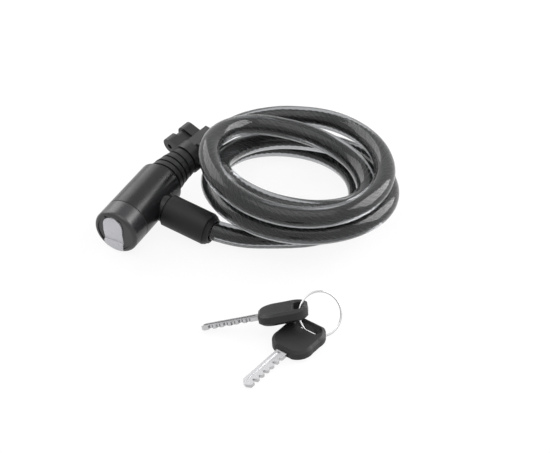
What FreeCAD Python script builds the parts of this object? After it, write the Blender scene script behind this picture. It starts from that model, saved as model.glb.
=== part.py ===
"""Keyed coiled cable lock, closed: barrel head, plug-in cable end, frame bracket and two keys on a ring."""
import FreeCAD
import Part

import math
import os

Vector = FreeCAD.Vector

# Cable: a twisted steel rope in a clear smoke-grey jacket, millimetres.
cable_diameter = 12.0
rope_diameter = 5.6

# Lock head, a barrel measured along its axis from the key face.
head_diameter = 27.2
head_length = 49.6
cap_length = 12.4
cap_wall = 3.5
cap_seam = 0.3
face_rim_radius = 2.2
face_dish_radius = 11.0
face_dish_depth = 0.5
shell_wall = 1.0
shell_lip_length = 0.8
shell_lip_bore = 11.7
case_clearance = 0.1
case_joint_gap = 0.65
block_inset = 2.0

# Where the head lies: key-face centre, plan angle of its axis, rise of its rear and roll.
face_centre = Vector(-89.4, -26.6, 14.1)
head_plan_angle = 62.0
head_rise = 5.5
head_roll = -11.2
face_turn = -8.0

# Flap over the keyway, hinged at the top of the key face.
flap_width = 12.2
flap_offset = -1.2
flap_thickness = 2.0
flap_proud = 0.2
flap_gap = 0.2
flap_hinge_height = 9.0
flap_knuckle_radius = 1.2
flap_knuckle_length = 9.4
flap_pin_radius = 0.6
flap_pin_length = 12.0
flap_pin_clearance = 0.05
flap_lip_length = 4.8
flap_lip_inner = 12.4
flap_lip_clearance = 0.05
thumb_recess_depth = 1.0
thumb_recess_top = 0.0
thumb_recess_bottom = 6.6
thumb_ridge_width = 0.5

# Key plug, wafers and cam.
plug_radius = 6.0
plug_front = 2.8
key_opening_radius = 4.6
cam_room = 1.25
plug_flange_radius = 7.5
plug_flange_start = 3.75
plug_flange_length = 1.2
plug_clearance = 0.05
keyway_width = 2.3
keyway_height = 7.6
wafer_count = 6
wafer_first = 8.0
wafer_margin = 3.3
wafer_thickness = 0.8
wafer_width = 4.6
wafer_height = 10.6
wafer_window_half = 3.2
wafer_lift_share = 0.25
cam_radius = 7.0
cam_thickness = 1.0
cam_pin_radius = 1.3
cam_pin_length = 1.9
cam_pin_offset = 2.2
cam_rest_angle = -45.0
cam_turn = 90.0

# Latch plate, which slides across the bolt and drops into its groove.
latch_thickness = 2.2
latch_rear_x = -3.1
latch_half_height = 8.6
latch_before_bolt = 5.8
latch_past_bolt = 6.7
latch_tab_length = 1.0
latch_tab_reach = 5.2
latch_tab_half_width = 3.4
latch_clearance = 0.12
cam_slot_clearance = 0.15

# Bolt on the cable's free end, on a line square to the head's axis.
bolt_axis_inset = 16.3
bolt_radius = 4.5
bolt_tip_x = -7.0
bolt_tail_x = 24.0
bolt_chamfer = 1.2
bolt_clearance = 0.08
groove_radius = 3.2
groove_margin = 0.2
socket_boss_radius = 8.0
socket_boss_proud = 0.5
seal_thickness = 0.6
seal_radius = 7.6
seal_gap = 0.1
sleeve_radius = 9.4
sleeve_end_radius = 9.0
sleeve_end_x = 43.0
sleeve_lip = 1.0
sleeve_lip_chamfer = 0.3
sleeve_chamfer = 0.6
collar_length = 1.6
collar_radius = 8.3
collar_taper = 0.8
ferrule_radius = 7.4
bolt_ferrule_start = 16.0
bolt_ferrule_step = 30.0
bolt_ferrule_end = 38.0

# Cable anchor in the head's rear, and the ribbed boot behind it.
ferrule_inset = 7.5
ferrule_crimp_length = 2.7
ferrule_end_inset = 0.1
anchor_pin_radius = 0.9
anchor_pin_offset = 1.4
ferrule_groove_depth = 1.0
boot_flange_length = 1.35
boot_first_radius = 11.5
boot_last_radius = 8.6
boot_groove_depth = 0.9
boot_band_count = 4
boot_band_length = 5.0
boot_neck_length = 2.6
boot_groove_width = 0.7
boot_groove_slant = 0.3
boot_collar_radius = 7.7
boot_collar_length = 8.5
cap_pin_radius = 1.0
cap_pin_depth = 8.0
cap_pin_length = 5.0

# Frame bracket round the boot's collar and the cable behind it.
bracket_end_gap = 0.3
bracket_length = 22.0
bracket_bore_clearance = 0.08
bracket_ring_length = 6.0
bracket_ring_radius = 9.4
bracket_cable_clearance = 0.9
bracket_mouth_radius = 8.4
bracket_mouth_length = 8.0
bracket_half_width = 8.7
bracket_corner = 5.2
horn_offset_left = 13.2
horn_offset_up = 3.6
horn_radius = 5.2
horn_thickness = 6.4
horn_places = (3.2, 15.4)
horn_web_radius = 3.4
strap_bore_radius = 1.6
pinch_place = 10.8
pinch_height = 8.6
pinch_foot = 0.6
pinch_drive_width = 0.7
pinch_room = 0.1
pinch_lug_rim = 0.8
pinch_screw_radius = 1.5
pinch_head_radius = 2.4
pinch_head_length = 1.8
pinch_lug_side = 8.8

# Lead: the free stretch from the head through the bracket to the coil, points chosen on the photograph.
lead_bend_one = 12.5
lead_corner_two = Vector(-43.9, 44.8, 25.3)
coil_start = Vector(-35.1, 52.6, 27.9)
lead_bend_radius = 44.0
bend_share = 0.45

# Coil: its outermost reaches in turn, back, right, front and left, clockwise from above.
# A fourth value is the cable's slope there.
coil_reaches = (
    (9.0, 71.4, 31.6),
    (62.8, 13.0, 32.1),
    (14.0, -42.5, 35.8),
    (-37.5, 11.1, 43.5),
    (-3.0, 54.4, 34.9),
    (52.4, 8.0, 22.8),
    (16.0, -25.6, 29.1, 0.092),
    (-31.6, 16.4, 30.9, -0.258),
    (10.0, 63.9, 19.6, -0.045),
    (65.4, 9.4, 19.3),
    (16.0, -39.1, 22.3, 0.019),
    (-37.2, 21.6, 17.4, -0.275),
    (0.0, 77.2, 6.0, 0.0),
    (49.0, 28.0, 6.0, 0.0),
    (8.0, -21.0, 6.5),
)
reach_directions = ((1, 0), (0, -1), (-1, 0), (0, 1))
turn_over_chord = 1.11

# Keys: the same key twice, and the wire ring through both.
key_blade_length = 30.5
key_edge_back = 3.6
key_edge_cut = 2.8
key_blade_thickness = 1.9
key_tang_length = 12.0
key_groove_width = 1.8
key_groove_depth = 0.6
key_cut_depths = (1.2, 2.2, 0.9, 1.9, 1.4, 2.4)
key_cut_pitch = 4.0
key_cut_first = 5.5
key_cut_top = 1.3
key_cut_floor = 0.4
key_tip_cut = 2.4
key_groove_middle = -1.2
key_groove_start = 1.5
key_head_length = 26.2
key_head_width = 22.9
key_head_thickness = 6.2
key_head_edge = 1.3
key_shoulder_width = 11.0
key_end_width = 13.0
key_corner = 10.0
key_slot_width = 4.4
key_slot_length = 15.0
key_slot_bevel = 0.9
key_slot_wall = 2.9
key_slot_x = -key_head_length + key_slot_wall + key_slot_width / 2
key_one_slot = Vector(12.1, -93.2, 11.9)
key_one_aim = Vector(-28.8, -1.6, -5.5)
key_one_roll = 22.0
key_two_slot = Vector(17.3, -101.5, 4.7)
key_two_aim = Vector(-18.4, -23.2, -1.6)
key_two_roll = 0.0
ring_radius = 11.8
ring_wire_radius = 0.5
ring_centre_x = 23.7
ring_centre_y = -93.9
ring_facing = Vector(0.33, -0.72, 0.61)


def unit(vector):
    return vector * (1.0 / vector.Length)


def cylinder(radius, start, end, axis=Vector(0, 0, 1), centre=Vector(0, 0, 0)):
    """Cylinder along an axis, from one reach on it to another."""
    return Part.makeCylinder(radius, end - start, centre + axis * start, axis)


def box(x, y, z):
    """Box from three pairs of limits."""
    return Part.makeBox(x[1] - x[0], y[1] - y[0], z[1] - z[0], Vector(x[0], y[0], z[0]))


def revolved(profile):
    """Solid of revolution about Z from its (radius, z) outline."""
    points = [Vector(r, 0, z) for r, z in profile]
    face = Part.Face(Part.makePolygon(points + points[:1]))
    return face.revolve(Vector(0, 0, 0), Vector(0, 0, 1), 360)


def frame_matrix(x_axis, y_axis, z_axis, origin):
    """Placement matrix whose columns are the axes and the origin."""
    return FreeCAD.Matrix(x_axis.x, y_axis.x, z_axis.x, origin.x,
                          x_axis.y, y_axis.y, z_axis.y, origin.y,
                          x_axis.z, y_axis.z, z_axis.z, origin.z,
                          0, 0, 0, 1)


def placed(shape, matrix):
    """Copy of a shape moved by a rigid matrix."""
    moved = shape.copy()
    moved.Placement = FreeCAD.Placement(matrix).multiply(moved.Placement)
    return moved


def turned_to_x(shape):
    """Shape built along Z turned so that it lies along X at the bolt's depth."""
    turned = shape.copy()
    turned.rotate(Vector(0, 0, 0), Vector(0, 1, 0), 90)
    turned.translate(Vector(0, 0, bolt_axis_depth))
    return turned


# Axes of the head: along the barrel, out through the socket, and across, downwards.
rise = math.radians(head_rise)
plan = math.radians(head_plan_angle)
barrel_axis = Vector(math.cos(rise) * math.cos(plan), math.cos(rise) * math.sin(plan), math.sin(rise))
level_axis = Vector(math.sin(plan), -math.cos(plan), 0)
upward_axis = level_axis.cross(barrel_axis)
roll = math.radians(head_roll)
socket_axis = level_axis * math.cos(roll) + upward_axis * math.sin(roll)
across_axis = barrel_axis.cross(socket_axis)
head_matrix = frame_matrix(socket_axis, across_axis, barrel_axis, face_centre)
face_side = math.cos(math.radians(face_turn))
face_down = math.sin(math.radians(face_turn))
hinge_axis = socket_axis * face_side + across_axis * face_down
face_matrix = frame_matrix(hinge_axis, barrel_axis.cross(hinge_axis), barrel_axis, face_centre)

# Depths from the key face, all set from the head's rear.
bolt_axis_depth = head_length - bolt_axis_inset
latch_start = bolt_axis_depth - latch_before_bolt
latch_end = bolt_axis_depth + latch_past_bolt
case_joint = latch_start - case_joint_gap
plug_rear = case_joint - cam_room
wafer_pitch = (plug_rear - wafer_margin - wafer_thickness - wafer_first) / (wafer_count - 1)
block_end = head_length - block_inset
head_ferrule_start = head_length - ferrule_inset
head_ferrule_step = head_ferrule_start + ferrule_crimp_length
head_ferrule_end = head_length - ferrule_end_inset
anchor_pin_depth = head_ferrule_start + anchor_pin_offset

head_radius = head_diameter / 2
cable_radius = cable_diameter / 2
rope_radius = rope_diameter / 2
case_radius = head_radius - shell_wall - case_clearance
Y_AXIS = Vector(0, 1, 0)
X_AXIS = Vector(1, 0, 0)
hinge_centre = Vector(flap_offset, -flap_hinge_height, flap_knuckle_radius - flap_proud)
socket_boss_reach = head_radius + socket_boss_proud
sleeve_start_x = socket_boss_reach + seal_gap + seal_thickness


def rim_rounded(body, radius, level, rounding):
    """Body with its round rim of a given radius and level rounded."""
    rims = [edge for edge in body.Edges if isinstance(edge.Curve, Part.Circle)
            and abs(edge.Curve.Radius - radius) < 0.001 and abs(edge.Curve.Center.z - level) < 0.001]
    return body.makeFillet(rounding, rims)


def flap_outline(room, low, high):
    """Block of the flap's outline, straight sides below a round crown, from one level to another."""
    half = flap_width / 2 + room
    crown_y = flap_width / 2 - flap_hinge_height - flap_knuckle_radius
    crown = cylinder(half, low, high, centre=Vector(flap_offset, crown_y, 0))
    return crown.fuse(box((flap_offset - half, flap_offset + half), (crown_y, head_radius + 1), (low, high)))


# Front cap: turned cup with a dished face, a slot for the flap and a notch where the flap's lip wraps round it.
def front_cap():
    shell_bore = head_radius - shell_wall
    body = revolved((
        (0, face_dish_depth), (face_dish_radius, face_dish_depth), (face_dish_radius, 0), (head_radius, 0),
        (head_radius, cap_length - cap_seam), (head_radius - cap_seam, cap_length),
        (shell_bore, cap_length), (shell_bore, cap_wall), (0, cap_wall)))
    body = rim_rounded(body, head_radius, 0, face_rim_radius)
    half = flap_knuckle_length / 2 + flap_gap
    floor = flap_thickness - flap_proud + flap_gap
    slot = flap_outline(flap_gap, -1, floor).cut(
        box((-head_radius, head_radius), (-head_radius, -flap_hinge_height), (-1, floor)))
    pocket = cylinder(flap_knuckle_radius + flap_gap, -half, half, X_AXIS, hinge_centre)
    pocket_mouth = box((flap_offset - half, flap_offset + half),
                       (hinge_centre.y - flap_knuckle_radius - flap_gap, hinge_centre.y), (-1, hinge_centre.z))
    key_opening = cylinder(key_opening_radius, -1, cap_wall + 1)
    plug_seat = cylinder(plug_radius + flap_gap, plug_front - flap_gap, cap_wall + 1)
    pin_bore = cylinder(flap_pin_radius, -flap_pin_length / 2, flap_pin_length / 2, X_AXIS, hinge_centre)
    pin_hole = cylinder(cap_pin_radius, head_radius - cap_pin_length, head_radius + 1, X_AXIS * -1,
                        Vector(0, 0, cap_pin_depth))
    return body.cut([slot, pocket, pocket_mouth, lip_notch(), key_opening, plug_seat, pin_bore, pin_hole])


def lip_notch():
    """Room for the flap's lip in the rim and in the case behind it."""
    half = flap_width / 2 + flap_gap
    return box((flap_offset - half, flap_offset + half), (flap_lip_inner - flap_gap, head_radius + 1),
               (-1, flap_lip_length + flap_gap))


# Flap: plate with a thumb recess, a knuckle at its top and a lip that wraps over the rim.
def flap():
    half = flap_width / 2
    sides = (flap_offset - half, flap_offset + half)
    outer = -flap_proud
    plate = box(sides, (-flap_hinge_height, head_radius), (outer, outer + flap_thickness))
    lip = box(sides, (flap_lip_inner, head_radius), (outer, flap_lip_length))
    knuckle = cylinder(flap_knuckle_radius, -flap_knuckle_length / 2, flap_knuckle_length / 2, X_AXIS, hinge_centre)
    body = plate.fuse([lip, knuckle])
    envelope_radius = head_radius - flap_lip_clearance
    envelope = rim_rounded(cylinder(envelope_radius, outer, flap_lip_length), envelope_radius, outer, face_rim_radius)
    trimmed = body.common(flap_outline(0, outer - 1, flap_lip_length + 1)).common(envelope)
    scoop = [Vector(sides[0] - 1, y, z) for y, z in (
        (thumb_recess_top, outer - 1), (thumb_recess_top, outer),
        (thumb_recess_bottom, outer + thumb_recess_depth),
        (thumb_recess_bottom + thumb_ridge_width, outer), (thumb_recess_bottom + thumb_ridge_width, outer - 1))]
    recess = Part.Face(Part.makePolygon(scoop + scoop[:1])).extrude(Vector(flap_width + 2, 0, 0))
    pin_bore = cylinder(flap_pin_radius + flap_pin_clearance, -half - 1, half + 1, X_AXIS, hinge_centre)
    return trimmed.cut([recess, pin_bore]).removeSplitter()


def flap_pin():
    return cylinder(flap_pin_radius, -flap_pin_length / 2, flap_pin_length / 2, X_AXIS, hinge_centre)


def cap_pin():
    return cylinder(cap_pin_radius, head_radius - cap_pin_length, head_radius - 0.2, X_AXIS * -1,
                    Vector(0, 0, cap_pin_depth))


# Shell: steel tube with the socket's boss on one side and an inward lip that holds the boot.
def head_shell():
    bore = head_radius - shell_wall
    end = head_length + 0.2
    lip_start = end - shell_lip_length
    tube = revolved((
        (bore, cap_length), (head_radius - cap_seam, cap_length), (head_radius, cap_length + cap_seam),
        (head_radius, end - cap_seam), (head_radius - cap_seam, end),
        (shell_lip_bore, end), (shell_lip_bore, lip_start), (bore, lip_start)))
    boss = turned_to_x(cylinder(socket_boss_radius, 0, socket_boss_reach))
    boss = boss.cut(cylinder(bore, 0, head_length))
    bolt_hole = turned_to_x(cylinder(bolt_radius + 2 * bolt_clearance, 0, head_radius + 2))
    return tube.fuse(boss).cut(bolt_hole).removeSplitter()


# Front case: carries the key plug in a running fit.
def lock_case():
    start = cap_wall
    body = cylinder(case_radius, start, case_joint)
    flange_end = plug_flange_start + plug_flange_length + plug_clearance
    recess = cylinder(plug_flange_radius + 2 * plug_clearance, start - 1, flange_end)
    bore = cylinder(plug_radius + plug_clearance, start, plug_rear)
    chamber = cylinder(cam_radius + 2 * latch_clearance, plug_rear, case_joint)
    pin_hole = cylinder(cap_pin_radius, head_radius - cap_pin_length, head_radius, X_AXIS * -1,
                        Vector(0, 0, cap_pin_depth))
    return body.cut([recess, bore, chamber, pin_hole, lip_notch()])


# Rear block: bolt bore, pocket for the latch plate and seat of the cable's anchor.
def rear_block():
    body = cylinder(case_radius, case_joint, block_end)
    bolt_bore = turned_to_x(cylinder(bolt_radius + bolt_clearance, bolt_tip_x - 0.5, head_radius))
    travel = latch_travel()
    pocket_reach = latch_half_height + travel + latch_clearance
    pocket = box((latch_rear_x - latch_clearance, latch_rear_x + latch_thickness + latch_clearance),
                 (-latch_half_height - latch_clearance, pocket_reach),
                 (case_joint, latch_end + latch_clearance))
    tab_end = latch_start + latch_tab_length + latch_clearance
    tab_half = latch_tab_half_width + latch_clearance
    tab_pocket = box((latch_rear_x - latch_clearance, latch_tab_reach + latch_clearance),
                     (cam_pin_y() - tab_half, cam_pin_y() + travel + tab_half), (case_joint, tab_end))
    seat = cylinder(ferrule_radius, head_ferrule_start, block_end)
    anchor_hole = cylinder(anchor_pin_radius, -case_radius, case_radius, Y_AXIS,
                           Vector(ferrule_radius, 0, anchor_pin_depth))
    return body.cut([bolt_bore, pocket, tab_pocket, seat, anchor_hole])


def cam_pin_y():
    return cam_pin_offset * math.sin(math.radians(cam_rest_angle))


def latch_travel():
    """How far the cam's pin pushes the latch plate in its quarter turn."""
    turned = math.radians(cam_rest_angle + cam_turn)
    return cam_pin_offset * math.sin(turned) - cam_pin_y()


# Key plug: keyway down its length and a row of slots for the wafers.
def key_plug():
    body = cylinder(plug_radius, plug_front, plug_rear)
    flange_end = plug_flange_start + plug_flange_length
    flange = cylinder(plug_flange_radius, plug_flange_start, flange_end)
    keyway = box((-keyway_width / 2, keyway_width / 2), (-keyway_height / 2, keyway_height / 2),
                 (0, plug_rear - 1))
    slots = [wafer_blank(i, latch_clearance / 2) for i in range(wafer_count)]
    return body.fuse(flange).cut([keyway] + slots).removeSplitter()


def wafer_blank(index, room):
    z = wafer_first + index * wafer_pitch
    half_width = wafer_width / 2 + room
    half_height = wafer_height / 2 + room
    return box((-half_width, half_width), (-half_height, half_height),
               (z - room, z + wafer_thickness + room))


def wafers():
    """Wafers with their key windows, lifted as the inserted key leaves them."""
    plates = []
    for i in range(wafer_count):
        z = wafer_first + i * wafer_pitch
        half = keyway_width / 2
        lift = key_cut_depths[i] * wafer_lift_share
        window = box((-half, half), (lift - wafer_window_half, lift + wafer_window_half),
                     (z - 1, z + wafer_thickness + 1))
        plates.append(wafer_blank(i, 0).cut(window))
    return Part.makeCompound(plates)


# Cam: disc on the plug's tail with an eccentric pin.
def cam():
    disc_start = plug_rear
    disc = cylinder(cam_radius, disc_start, disc_start + cam_thickness)
    angle = math.radians(cam_rest_angle)
    foot = Vector(cam_pin_offset * math.cos(angle), cam_pin_y(), disc_start + cam_thickness)
    pin = cylinder(cam_pin_radius, 0, cam_pin_length, centre=foot)
    return disc.fuse(pin).removeSplitter()


# Latch: plate with a keyhole round the bolt and a foot driven by the cam's pin.
def latch():
    front_x = latch_rear_x + latch_thickness
    plate = box((latch_rear_x, front_x), (-latch_half_height, latch_half_height), (latch_start, latch_end))
    tab = box((latch_rear_x, latch_tab_reach),
              (cam_pin_y() - latch_tab_half_width, cam_pin_y() + latch_tab_half_width),
              (latch_start, latch_start + latch_tab_length))
    body = plate.fuse(tab)
    open_hole = turned_to_x(cylinder(bolt_radius + 2 * bolt_clearance, latch_rear_x - 1, front_x + 1))
    narrow = groove_radius + 2 * bolt_clearance
    travel = latch_travel()
    narrow_slot = box((latch_rear_x - 1, front_x + 1), (-travel, 0),
                      (bolt_axis_depth - narrow, bolt_axis_depth + narrow))
    narrow_end = turned_to_x(cylinder(narrow, latch_rear_x - 1, front_x + 1))
    narrow_end.translate(Vector(0, -travel, 0))
    slot_half = cam_pin_radius + cam_slot_clearance
    slot_near = cam_pin_offset * math.cos(math.radians(cam_rest_angle)) - slot_half
    slot_far = cam_pin_offset + slot_half
    cam_slot = box((slot_near, slot_far), (cam_pin_y() - slot_half, cam_pin_y() + slot_half),
                   (latch_start - 1, latch_start + latch_tab_length + 1))
    return body.cut([open_hole, narrow_slot, narrow_end, cam_slot]).removeSplitter()


# Cable anchor in the head: crimped ferrule with a groove for its cross pin.
def head_ferrule():
    groove = ferrule_radius - ferrule_groove_depth
    low = anchor_pin_depth - anchor_pin_radius - 0.05
    high = anchor_pin_depth + anchor_pin_radius + 0.05
    return revolved((
        (rope_radius, head_ferrule_start), (ferrule_radius, head_ferrule_start), (ferrule_radius, low),
        (groove, low), (groove, high), (ferrule_radius, high), (ferrule_radius, head_ferrule_end),
        (cable_radius, head_ferrule_end), (cable_radius, head_ferrule_step), (rope_radius, head_ferrule_step)))


def anchor_pin():
    reach = math.sqrt(case_radius ** 2 - (ferrule_radius + anchor_pin_radius) ** 2)
    return cylinder(anchor_pin_radius, -reach, reach, Y_AXIS, Vector(ferrule_radius, 0, anchor_pin_depth))


# Bolt end of the cable: steel pin with a locking groove, pressed into a ferrule inside a sleeve.
def bolt_pin():
    groove_low = latch_rear_x - groove_margin
    groove_high = latch_rear_x + latch_thickness + groove_margin
    return turned_to_x(revolved((
        (0, bolt_tip_x), (bolt_radius - bolt_chamfer, bolt_tip_x), (bolt_radius, bolt_tip_x + bolt_chamfer),
        (bolt_radius, groove_low), (groove_radius, groove_low), (groove_radius, groove_high),
        (bolt_radius, groove_high), (bolt_radius, bolt_tail_x), (0, bolt_tail_x))))


def seal_ring():
    start = sleeve_start_x - seal_thickness
    return turned_to_x(revolved((
        (bolt_radius, start), (seal_radius, start), (seal_radius, sleeve_start_x),
        (bolt_radius, sleeve_start_x))))


def bolt_ferrule():
    return turned_to_x(revolved((
        (bolt_radius, bolt_ferrule_start), (ferrule_radius, bolt_ferrule_start),
        (ferrule_radius, bolt_ferrule_end), (cable_radius, bolt_ferrule_end),
        (cable_radius, bolt_ferrule_step), (rope_radius, bolt_ferrule_step),
        (rope_radius, bolt_tail_x), (bolt_radius, bolt_tail_x))))


def bolt_sleeve():
    lip_start = sleeve_end_x - sleeve_lip
    return turned_to_x(revolved((
        (bolt_radius, sleeve_start_x), (sleeve_radius - sleeve_chamfer, sleeve_start_x),
        (sleeve_radius, sleeve_start_x + sleeve_chamfer), (sleeve_radius, lip_start - sleeve_chamfer),
        (sleeve_end_radius - sleeve_lip_chamfer, lip_start),
        (sleeve_end_radius, lip_start + sleeve_lip_chamfer),
        (sleeve_end_radius - sleeve_lip_chamfer, sleeve_end_x), (cable_radius, sleeve_end_x),
        (cable_radius, bolt_ferrule_end), (ferrule_radius, bolt_ferrule_end),
        (ferrule_radius, bolt_ferrule_start), (bolt_radius, bolt_ferrule_start))))


def sleeve_collar():
    return turned_to_x(revolved((
        (cable_radius, sleeve_end_x), (collar_radius, sleeve_end_x),
        (collar_radius - collar_taper, sleeve_end_x + collar_length), (cable_radius, sleeve_end_x + collar_length))))


def rope_stub(start, end):
    return cylinder(rope_radius, start, end)


class Route:
    """Chain of straight runs and tangent arcs in space, measured along its length."""

    def __init__(self, start, direction):
        self.end = start
        self.direction = unit(direction)
        self.pieces = []
        self.length = 0.0
        self.radii = []

    def add_run(self, end):
        run = (end - self.end).Length
        self.pieces.append((self.length, self.end, end, self.direction, None, None))
        self.length += run
        self.end = end

    def add_arc(self, end):
        """Arc that leaves along the present direction and passes through a point."""
        chord = end - self.end
        along = chord.dot(self.direction)
        side = chord - self.direction * along
        if side.Length < 1e-6:
            self.add_run(end)
            return
        normal = unit(side)
        radius = chord.dot(chord) / (2 * side.Length)
        angle = 2 * math.atan2(side.Length, along)
        self.pieces.append((self.length, self.end, end, self.direction, normal, radius))
        self.radii.append(radius)
        self.length += radius * angle
        self.end = end
        self.direction = self.direction * math.cos(angle) + normal * math.sin(angle)

    def at(self, reach):
        """Point and direction at a distance along the route."""
        piece = self.pieces[0]
        for candidate in self.pieces:
            if candidate[0] <= reach:
                piece = candidate
        begun, origin, _, direction, normal, radius = piece
        rest = reach - begun
        if radius is None:
            return origin + direction * rest, direction
        angle = rest / radius
        point = origin + direction * (radius * math.sin(angle)) + normal * (radius * (1 - math.cos(angle)))
        return point, direction * math.cos(angle) + normal * math.sin(angle)

    def wire(self):
        edges = []
        ends = [piece[0] for piece in self.pieces[1:]] + [self.length]
        for (begun, origin, last, _, _, radius), finish in zip(self.pieces, ends):
            if radius is None:
                edges.append(Part.LineSegment(origin, last).toShape())
            else:
                middle, _ = self.at((begun + finish) / 2)
                edges.append(Part.Arc(origin, middle, last).toShape())
        return Part.Wire(edges)

    def tube(self, radius, name):
        """Solid tube along the route, its volume compared with section times length."""
        first, direction = self.at(0.0)
        profile = Part.Wire(Part.makeCircle(radius, first, direction))
        solid = self.wire().makePipeShell([profile], True, False)
        share = solid.Volume / (math.pi * radius ** 2 * self.length)
        radii = ", ".join(f"{value:.1f}" for value in self.radii)
        print(f"{name}: length {self.length:.1f} mm, volume over section times length {share:.4f}, radii {radii}")
        return solid


def rounded_route(points, radii):
    """Route through corner points, each rounded by a tangent arc."""
    route = Route(points[0], points[1] - points[0])
    for i in range(1, len(points) - 1):
        before = unit(points[i] - points[i - 1])
        after = unit(points[i + 1] - points[i])
        setback = radii[i - 1] * math.tan(before.getAngle(after) / 2)
        route.add_run(points[i] - before * setback)
        route.add_arc(points[i] + after * setback)
    route.add_run(points[-1])
    return route


def full_radius(points, i):
    """Largest sensible bend at a corner: a share of its shorter run."""
    before = points[i] - points[i - 1]
    after = points[i + 1] - points[i]
    return bend_share * min(before.Length, after.Length) / math.tan(before.getAngle(after) / 2)


def on_head(x, y, z):
    """Point given in the head's own frame."""
    return head_matrix.multiply(Vector(x, y, z))


# Lead: out of the anchor, through boot and bracket, to the start of the coil.
lead_corner_one = on_head(0, 0, head_length + lead_bend_one)
lead_points = [on_head(0, 0, head_ferrule_step), lead_corner_one, lead_corner_two, coil_start]
lead_radii = [lead_bend_radius, full_radius(lead_points, 2)]
lead_route = rounded_route(lead_points, lead_radii)
boot_reach = head_length - head_ferrule_step
bands_length = boot_band_count * (boot_band_length + boot_groove_slant)
collar_reach = boot_reach + boot_neck_length + bands_length + boot_groove_slant

# Tail: from the coil's end to the bolt's ferrule, whose line it meets in one bend.
tail_end = on_head(bolt_ferrule_step, 0, bolt_axis_depth)
coil_last = Vector(*coil_reaches[-1])
corner_reach = (tail_end.y - coil_last.y) / socket_axis.y
tail_corner = tail_end - socket_axis * corner_reach
tail_corner.z = max(tail_corner.z, coil_last.z)


def coil_route():
    """Biarcs through the reaches, after a straight start one diameter long."""
    start_direction = unit(coil_start - lead_corner_two)
    end_direction = unit(tail_corner - coil_last)
    points = [coil_start + start_direction * cable_diameter]
    points += [Vector(*reach[:3]) for reach in coil_reaches]
    tangents = [start_direction]
    for i in range(1, len(points) - 1):
        chords = (points[i] - points[i - 1]).Length + (points[i + 1] - points[i]).Length
        slope = (points[i + 1].z - points[i - 1].z) / (turn_over_chord * chords)
        if len(coil_reaches[i - 1]) > 3:
            slope = coil_reaches[i - 1][3]
        east, north = reach_directions[(i - 1) % 4]
        tangents.append(unit(Vector(east, north, slope)))
    tangents.append(end_direction)
    route = Route(coil_start, start_direction)
    route.add_run(points[0])
    for i in range(len(points) - 1):
        chord = points[i + 1] - points[i]
        spread = tangents[i] + tangents[i + 1]
        bend = 2 * (1 - tangents[i].dot(tangents[i + 1]))
        along = chord.dot(spread)
        arm = (math.sqrt(along ** 2 + bend * chord.dot(chord)) - along) / bend
        middle = (points[i] + points[i + 1] + (tangents[i] - tangents[i + 1]) * arm) * 0.5
        route.add_arc(middle)
        route.add_arc(points[i + 1])
    return route


def least_gap(route, others):
    """Least free space between the coil's turns, and between the coil and the cable's other stretches."""
    step = 3.0
    skip = 60.0
    places = [(i * step, route.at(i * step)[0]) for i in range(int(route.length / step) + 1)]
    own = min((p - q).Length for i, (s, p) in enumerate(places) for t, q in places[i:] if t - s > skip)
    rest = []
    for other, offset in others:
        count = int(other.length / step)
        samples = [(offset + j * step, other.at(j * step)[0]) for j in range(count + 1)]
        rest += [(p - q).Length for s, p in places for t, q in samples if abs(t - s) > skip]
    return own - cable_diameter, min(rest) - cable_diameter


coil = coil_route()
tail_start = coil.end
tail_points = [tail_start, tail_corner, tail_end]
tail_route = rounded_route(tail_points, [full_radius(tail_points, 1)])
own_gap, other_gap = least_gap(coil, [(lead_route, -lead_route.length), (tail_route, coil.length)])
print(f"least gap of the coil to itself {own_gap:.2f} mm, to the lead and tail {other_gap:.2f} mm")


# Boot: moulded taper in bands along the lead, with a plain collar that the bracket turns on.
def section(route, reach, radius):
    """Circle round the route, its start always on the upper side."""
    point, direction = route.at(reach)
    side = unit(Vector(0, 0, 1).cross(direction))
    matrix = frame_matrix(direction.cross(side), side * -1, direction, point)
    return Part.Wire(placed(Part.makeCircle(radius), matrix).Edges)


def boot(lead_tube):
    shrink = (boot_first_radius - boot_last_radius) / boot_band_count
    lip_inside = head_length + 0.2 - shell_lip_length - 0.05
    flange = placed(cylinder(case_radius, lip_inside - boot_flange_length, lip_inside), head_matrix)
    neck_radius = boot_first_radius - boot_groove_depth
    neck = placed(cylinder(neck_radius, lip_inside - 0.5, head_length + 0.4), head_matrix)
    slant = boot_groove_slant
    reach = boot_reach + boot_neck_length
    stations = [(boot_reach, neck_radius), (boot_reach + 2 * slant, neck_radius),
                (boot_reach + 3 * slant, boot_first_radius), (reach - slant, boot_first_radius)]
    for i in range(boot_band_count):
        high = boot_first_radius - i * shrink
        low = high - boot_groove_depth
        crest = reach + boot_groove_width + slant
        stations += [(reach, low), (crest - slant, low), (crest, high), (reach + boot_band_length, high - shrink)]
        reach += boot_band_length + slant
    stations += [(collar_reach - slant, boot_last_radius - boot_groove_depth),
                 (collar_reach, boot_collar_radius),
                 (collar_reach + boot_collar_length, boot_collar_radius)]
    wires = [section(lead_route, s, r) for s, r in stations]
    taper = Part.makeLoft(wires, True, True)
    ferrule = placed(cylinder(ferrule_radius, head_ferrule_start, head_ferrule_end), head_matrix)
    return flange.fuse([neck, taper]).cut([lead_tube, ferrule]).removeSplitter()


# Bracket, in a frame with X to its left, Y up and Z along the cable.
bracket_origin, run_axis = lead_route.at(collar_reach + bracket_end_gap)
left_axis = unit(Vector(0, 0, 1).cross(run_axis))
bracket_matrix = frame_matrix(left_axis, run_axis.cross(left_axis), run_axis, bracket_origin)


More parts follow.
